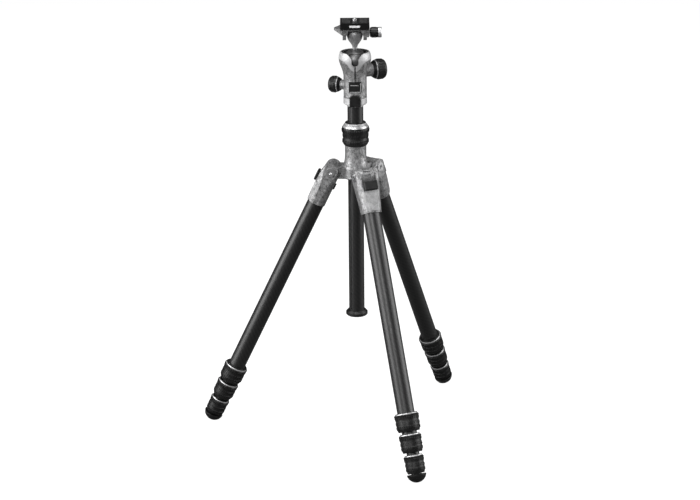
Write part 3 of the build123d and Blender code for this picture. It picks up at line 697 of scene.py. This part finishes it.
plateLow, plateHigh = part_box("quick_release_plate")
padLook = {"ribs": 16, "ribHeight": 0.18, "ribShare": 0.6, "taper": 0.8, "inner": 5.5, "margin": 1.0}
barLook = {"width": 15.0, "height": 3.0, "drop": 4.4, "proud": 0.15, "corner": 1.0}
paleMark = turnedMetal("paleMark", *metalLook["paleMark"], metallic=0.0)
frontTurn = Matrix.Rotation(math.radians(90), 4, "X")
barPlace = Matrix.Translation((0, plateLow.y, plateHigh.z - barLook["drop"] * mm)) @ frontTurn
bar = roundedPlate("plate_front_bar", barLook["width"] * mm, barLook["height"] * mm, barLook["proud"] * mm,
                   barLook["corner"] * mm, paleMark, barPlace)
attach(bar, "plate")
padLow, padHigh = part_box("plate_pads")
for side, label in ((-1, "left"), (1, "right")):
    inner = padLook["inner"] * mm
    margin = padLook["margin"] * mm
    width = padHigh.x - inner
    depth = padHigh.y - padLow.y
    step = (depth - 2 * margin) / (padLook["ribs"] - 1)
    first = Vector((side * (inner + width / 2), padLow.y + margin, padHigh.z))
    ribs = growPiece(f"pad_ribs_{label}", ribRow, {
        "Origin": first, "Turn": Vector((0, 0, 0)), "Count": padLook["ribs"], "Step": Vector((0, step, 0)),
        "Width": width - margin, "Length": step * padLook["ribShare"], "Height": padLook["ribHeight"] * mm,
        "Taper": padLook["taper"], "Finish": blackPlastic})
    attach(ribs, "plate")
print("clamp and plate dressed")


# head: dark mouth lip, label frame, black arch on the pan base

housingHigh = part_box("head_housing")[1]
mouthLook = {"inner": 17.4, "outer": 18.9, "sunk": 0.5, "proud": 0.3}
mouthInner, mouthOuter = mouthLook["inner"] * mm, mouthLook["outer"] * mm
lipFoot = housingHigh.z - mouthLook["sunk"] * mm
lipTop = housingHigh.z + mouthLook["proud"] * mm
lip = latheRing("mouth_lip", [
    (mouthInner, lipFoot), (mouthOuter, lipFoot), (mouthOuter, lipTop), (mouthInner, lipTop),
], blackPlastic)
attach(lip, "head")

labelLow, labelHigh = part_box("label_plate")
labelLook = {"line": 0.9, "proud": 0.25, "corner": 0.3, "barLeft": 2.5, "barRight": 4.2, "barDrop": 5.2,
             "footMargin": 1.2, "footRise": 1.0, "edge": 1.4, "edgeMargin": 1.5}
labelCentre = (labelLow + labelHigh) / 2
line = labelLook["line"] * mm
barLeft = labelLow.x + labelLook["barLeft"] * mm
barRight = labelHigh.x - labelLook["barRight"] * mm
labelMarks = {  # centre x and z, width, height
    "label_bar": ((barLeft + barRight) / 2, labelHigh.z - labelLook["barDrop"] * mm,
                  barRight - barLeft, line),
    "label_foot": (labelCentre.x, labelLow.z + labelLook["footRise"] * mm,
                   labelHigh.x - labelLow.x - 2 * labelLook["footMargin"] * mm, line),
    "label_edge": (labelHigh.x - labelLook["edge"] * mm, labelCentre.z,
                   line, labelHigh.z - labelLow.z - 2 * labelLook["edgeMargin"] * mm),
}
for name, (x, z, width, height) in labelMarks.items():
    place = Matrix.Translation((x, labelLow.y, z)) @ frontTurn
    mark = roundedPlate(name, width, height, labelLook["proud"] * mm, labelLook["corner"] * mm,
                        brightRing, place)
    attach(mark, "head")

baseLow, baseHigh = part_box("pan_base")
archLook = {"width": 16.6, "rise": 16.5, "drop": 1.5, "reach": 2.3, "clearance": 0.35, "flatness": 0.6,
            "faceShare": 0.86, "segments": 24}


def archPiece():
    # a shield with a rounded top, curved round the pan base just clear of it
    radius = archLook["width"] / 2 * mm
    crown = radius * archLook["flatness"]
    shoulder = baseLow.z + archLook["rise"] * mm - crown
    outline = []
    for step in range(archLook["segments"] + 1):
        angle = math.pi * step / archLook["segments"]
        outline.append((radius * math.cos(angle), shoulder + crown * math.sin(angle)))
    foot = baseLow.z - archLook["drop"] * mm
    outline += [(-radius, foot), (radius, foot)]
    inner = baseHigh.x + archLook["clearance"] * mm
    reach = archLook["reach"] * mm
    points = []
    for share, out in ((1.0, 0.0), (1.0, 0.6 * reach), (archLook["faceShare"], reach)):
        for x, z in outline:
            away = inner + out
            y = -math.sqrt(away * away - (x * share) ** 2)
            points.append((x * share, y, shoulder + (z - shoulder) * share))
    n = len(outline)
    faces = [tuple(range(n)), tuple(reversed(range(2 * n, 3 * n)))]
    for layer in range(2):
        for i in range(n):
            j = (i + 1) % n
            faces.append((layer * n + j, layer * n + i, (layer + 1) * n + i, (layer + 1) * n + j))
    return addMesh("base_shield", points, faces, blackPlastic, upright, 30)


arch = archPiece()
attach(arch, "head")
print("head dressed")


# stage, light and camera

stageLook = {"size": 14.0, "tone": 0.9, "bounce": 0.1, "glow": 0.93, "shade": 0.3, "sky": 0.06}
floorMaterial, floorTree, floorShader = newMaterial("paleFloor")
seen = addNode(floorTree, "ShaderNodeLightPath").outputs["Is Camera Ray"]
haze = noiseAt(floorTree, localPoint(floorTree, upright), 3.0)
bounce = doMath(floorTree, "MULTIPLY_ADD", haze, 0.02, stageLook["bounce"])
tone = spread(floorTree, seen, bounce, stageLook["tone"] * stageLook["shade"])
floorTree.links.new(addNode(floorTree, "ShaderNodeCombineColor", {0: tone, 1: tone, 2: tone}).outputs[0],
                    floorShader.inputs["Base Color"])
floorShader.inputs["Roughness"].default_value = 0.8
floorShader.inputs["Specular IOR Level"].default_value = 0.0
floorShader.inputs["Emission Color"].default_value = (1, 1, 1, 1)
glow = doMath(floorTree, "MULTIPLY", seen, stageLook["glow"])
floorTree.links.new(glow, floorShader.inputs["Emission Strength"])
half = stageLook["size"] / 2
floor = addMesh("floor", [(-half, -half, 0), (half, -half, 0), (half, half, 0), (-half, half, 0)],
                [(0, 1, 2, 3)], floorMaterial)

world = bpy.data.worlds.new("studio")
bpy.context.scene.world = world
world.use_nodes = True
worldTree = world.node_tree
background = worldTree.nodes["Background"]
background.inputs["Color"].default_value = (1, 1, 1, 1)
skySeen = addNode(worldTree, "ShaderNodeLightPath").outputs["Is Camera Ray"]
worldTree.links.new(spread(worldTree, skySeen, stageLook["sky"], 1.1), background.inputs["Strength"])

lights = {
    "boxLeft": {"place": (-2.1, -0.7, 0.9), "size": (1.8, 2.2), "power": 62.0},
    "boxRight": {"place": (2.1, -0.1, 0.8), "size": (1.6, 2.2), "power": 42.0},
    "front": {"place": (-0.6, -2.4, 1.9), "size": (1.2, 1.0), "power": 34.0},
    "top": {"place": (0.1, -0.3, 2.7), "size": (1.4, 1.4), "power": 44.0},
}
aim = Vector((0, 0, 0.35))
for name, setting in lights.items():
    data = bpy.data.lights.new(name, "AREA")
    data.shape = "RECTANGLE"
    data.size, data.size_y = setting["size"]
    data.energy = setting["power"]
    lamp = bpy.data.objects.new(name, data)
    lamp.location = setting["place"]
    lamp.rotation_euler = (aim - lamp.location).to_track_quat("-Z", "Y").to_euler()
    bpy.context.scene.collection.objects.link(lamp)

view = {"distance": 3.0, "height": 1.2704, "pitch": 18.285, "pan": -0.18, "roll": -0.5, "lens": 110.9}
pitch, pan, roll = (math.radians(view[key]) for key in ("pitch", "pan", "roll"))
forward = Vector((math.sin(pan) * math.cos(pitch), math.cos(pan) * math.cos(pitch), -math.sin(pitch)))
level = forward.cross(Vector((0, 0, 1))).normalized()
above = level.cross(forward)
right = level * math.cos(roll) + above * math.sin(roll)
up = above * math.cos(roll) - level * math.sin(roll)
cameraData = bpy.data.cameras.new("camera")
cameraData.sensor_width = 36.0
cameraData.lens = view["lens"]
cameraData.clip_end = 50.0
camera = bpy.data.objects.new("camera", cameraData)
turn = Matrix((right, up, -forward)).transposed().to_4x4()
camera.matrix_world = Matrix.Translation((0, -view["distance"], view["height"])) @ turn
bpy.context.scene.collection.objects.link(camera)
bpy.context.scene.camera = camera
bpy.context.scene.view_settings.view_transform = "Standard"

print("stage set")
